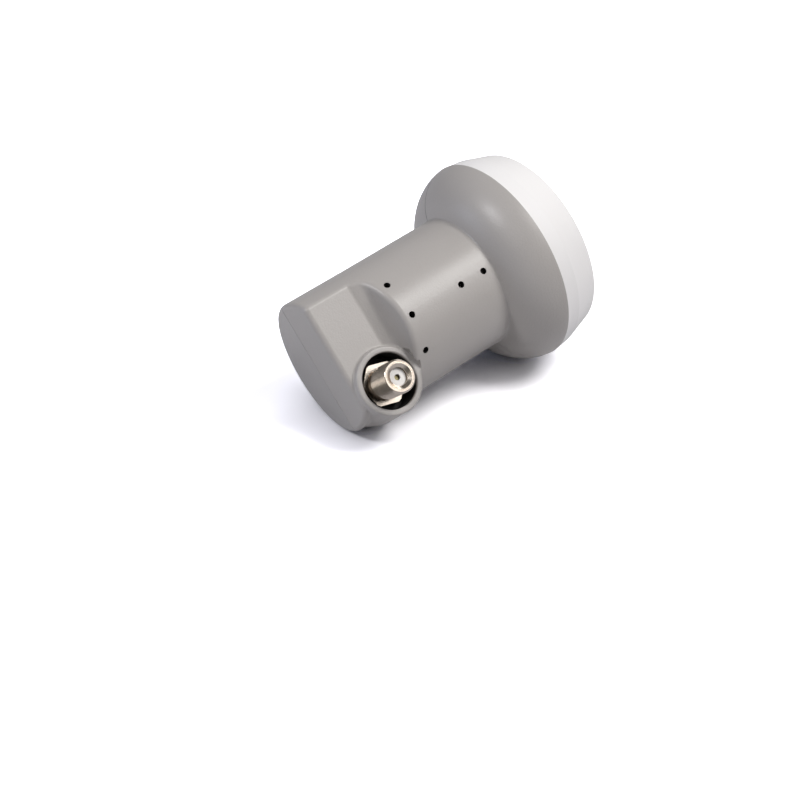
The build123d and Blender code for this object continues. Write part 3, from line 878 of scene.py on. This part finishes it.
class LNB_OT_inner(bpy.types.Operator):
    """Finishes the casting, the board, the seals and the other pieces inside the housing"""

    bl_idname = "lnb.inner"
    bl_label = "Inner pieces"

    def execute(self, context):
        made = bpy.data.materials
        finishes = {
            "casting": plated_metal(
                "casting", (0.36, 0.36, 0.37), smoothest=0.5, roughest=0.7, scratch=0.02 * MM
            ),
            "tinplate": plated_metal(
                "tinplate", (0.66, 0.66, 0.67), smoothest=0.22, roughest=0.4, scratch=0.006 * MM
            ),
            "brass": plated_metal(
                "brass", (0.60, 0.45, 0.18), smoothest=0.2, roughest=0.4, scratch=0.004 * MM
            ),
            "rubber": moulded_plastic(
                "rubber",
                (0.012, 0.012, 0.012),
                grain_size=0.3 * MM,
                grain_depth=0.01 * MM,
                gloss=0.75,
                spread=0.1,
            ),
            "epoxy": moulded_plastic(
                "epoxy",
                (0.02, 0.02, 0.02),
                grain_size=0.2 * MM,
                grain_depth=0.008 * MM,
                gloss=0.55,
                spread=0.1,
            ),
            "ceramic": moulded_plastic(
                "ceramic",
                (0.42, 0.30, 0.18),
                grain_size=0.15 * MM,
                grain_depth=0.005 * MM,
                gloss=0.4,
                spread=0.06,
            ),
            "laminate": laminate_board("laminate", (0.03, 0.16, 0.05), (0.25, 0.45, 0.20)),
            "nickel": made["nickel"],
            "fluoropolymer": made["fluoropolymer"],
        }
        for node, finish in INNER_FINISHES.items():
            dress_node(node, finishes[finish])
        return {"FINISHED"}


class LNB_OT_stage(bpy.types.Operator):
    """Sets the floor, the studio light and the camera"""

    bl_idname = "lnb.stage"
    bl_label = "Stage"

    def execute(self, context):
        look = context.scene.lnb_stage
        self.floor(look)
        self.lamp("key", (0.40, -0.50, 1.04), size=0.5, power=8.6, colour=(1.0, 0.985, 0.965))
        self.lamp("left", (-0.78, 0.12, 0.81), size=0.2, power=4.2, colour=(0.98, 0.98, 1.0))
        self.lamp("rim", (-0.98, 0.58, 0.17), size=0.5, power=2.0, colour=(0.70, 0.79, 1.0))
        self.lamp("front", (0.307, -0.714, 0.628), size=0.6, power=1.5, colour=(1.0, 0.98, 0.96))
        self.lamp("card", (-0.70, -0.45, 0.72), size=0.35, power=0.4, colour=(1.0, 0.96, 0.90))
        self.lamp("back", (0.85, 0.35, 0.62), size=0.6, power=2.2, colour=WHITE)
        self.world(context)
        self.camera(context, look)
        context.scene.view_settings.view_transform = "Standard"
        return {"FINISHED"}

    def rig(self, name, data, place, aim):
        """Puts a lamp or a camera at a place, turned towards a point."""
        rig = bpy.data.objects.new(name, data)
        bpy.context.scene.collection.objects.link(rig)
        rig.location = place
        rig.rotation_euler = (Vector(aim) - Vector(place)).to_track_quat("-Z", "Y").to_euler()
        return rig

    def lamp(self, name, place, size, power, colour):
        lamp = bpy.data.lights.new(name, "AREA")
        lamp.shape = "DISK"
        lamp.size = size
        lamp.energy = power
        lamp.color = colour
        self.rig(name, lamp, place, (0.0, 0.0, 0.0))

    def camera(self, context, look):
        camera = bpy.data.cameras.new("camera")
        camera.lens = look.lens
        camera.sensor_width = SENSOR_WIDTH
        camera.clip_start = CLIP_START
        context.scene.camera = self.rig("camera", camera, look.camera, look.aim)

    def floor(self, look):
        deselect()
        bpy.ops.mesh.primitive_plane_add(size=FLOOR_SIZE)
        floor = bpy.context.object
        floor.name = "floor"
        material, shade = new_tree("floor_white")
        seen = light_path(shade, "Is Camera Ray")
        # Painted contact shadow: ambient occlusion near the part weakens the lift of the floor's
        # colour
        clear = shade.node(
            "ShaderNodeAmbientOcclusion",
            {"samples": CONTACT_SHADOW_SAMPLES},
            {"Distance": CONTACT_SHADOW_REACH},
            "AO",
        )
        colour = mixed(shade, seen * clear, look.floor, scaled(look.floor, FLOOR_LIFT))
        lit = shade.node("ShaderNodeBsdfDiffuse", None, {"Color": colour})
        white = shade.node("ShaderNodeEmission", None, {"Color": paint(WHITE), "Strength": 1.0})
        reach = shade.vector("LENGTH", object_coords(shade))
        far = ((reach - FAR_START) / FAR_FADE).clamp(0.0, 1.0) * seen
        surface = shade.node("ShaderNodeMixShader", None, {0: far, 1: lit, 2: white})
        dress(floor, finish_material(material, shade, surface))

    def world(self, context):
        world = bpy.data.worlds.new("studio")
        world.use_nodes = True
        world.node_tree.nodes.clear()
        context.scene.world = world
        shade = Shade(world.node_tree)
        mirrored = light_path(shade, "Is Glossy Ray")
        seen = light_path(shade, "Is Camera Ray") + light_path(shade, "Is Transmission Ray")
        seen = seen.clamp(0.0, 1.0)
        strength = ROOM_FILL + seen * (1.0 - ROOM_FILL) + mirrored * ROOM_MIRRORED
        room = mixed(shade, mirrored, FILL_COLOUR, MIRRORED_COLOUR)
        colour = mixed(shade, seen, room, WHITE)
        surface = shade.node("ShaderNodeBackground", None, {"Color": colour, "Strength": strength})
        shade.node("ShaderNodeOutputWorld", None, {"Surface": surface})


# Sidebar and registration


class LNB_PT_panel(bpy.types.Panel):
    """Lists the settings and the steps that dress the part"""

    bl_idname = "LNB_PT_panel"
    bl_label = "Satellite LNB"
    bl_space_type = "VIEW_3D"
    bl_region_type = "UI"
    bl_category = "LNB"

    def draw(self, context):
        for settings in SETTINGS:
            group = getattr(context.scene, settings)
            for name in group.__annotations__:
                self.layout.prop(group, name)
        for step in STEPS:
            self.layout.operator(step.bl_idname)


SETTINGS = {
    "lnb_housing": LnbHousingSettings,
    "lnb_cap": LnbCapSettings,
    "lnb_connector": LnbConnectorSettings,
    "lnb_stage": LnbStageSettings,
}
STEPS = (
    LNB_OT_housing,
    LNB_OT_cap,
    LNB_OT_connector,
    LNB_OT_insulator,
    LNB_OT_contact,
    LNB_OT_inner,
    LNB_OT_stage,
)


def register():
    for group in SETTINGS.values():
        bpy.utils.register_class(group)
    for step in STEPS:
        bpy.utils.register_class(step)
    bpy.utils.register_class(LNB_PT_panel)
    for name, group in SETTINGS.items():
        setattr(bpy.types.Scene, name, PointerProperty(type=group))


def unregister():
    for name in SETTINGS:
        delattr(bpy.types.Scene, name)
    bpy.utils.unregister_class(LNB_PT_panel)
    for step in reversed(STEPS):
        bpy.utils.unregister_class(step)
    for group in SETTINGS.values():
        bpy.utils.unregister_class(group)


def main():
    register()
    bpy.ops.lnb.housing()
    bpy.ops.lnb.cap()
    bpy.ops.lnb.connector()
    bpy.ops.lnb.insulator()
    bpy.ops.lnb.contact()
    bpy.ops.lnb.inner()
    bpy.ops.lnb.stage()


if __name__ == "__main__":
    main()
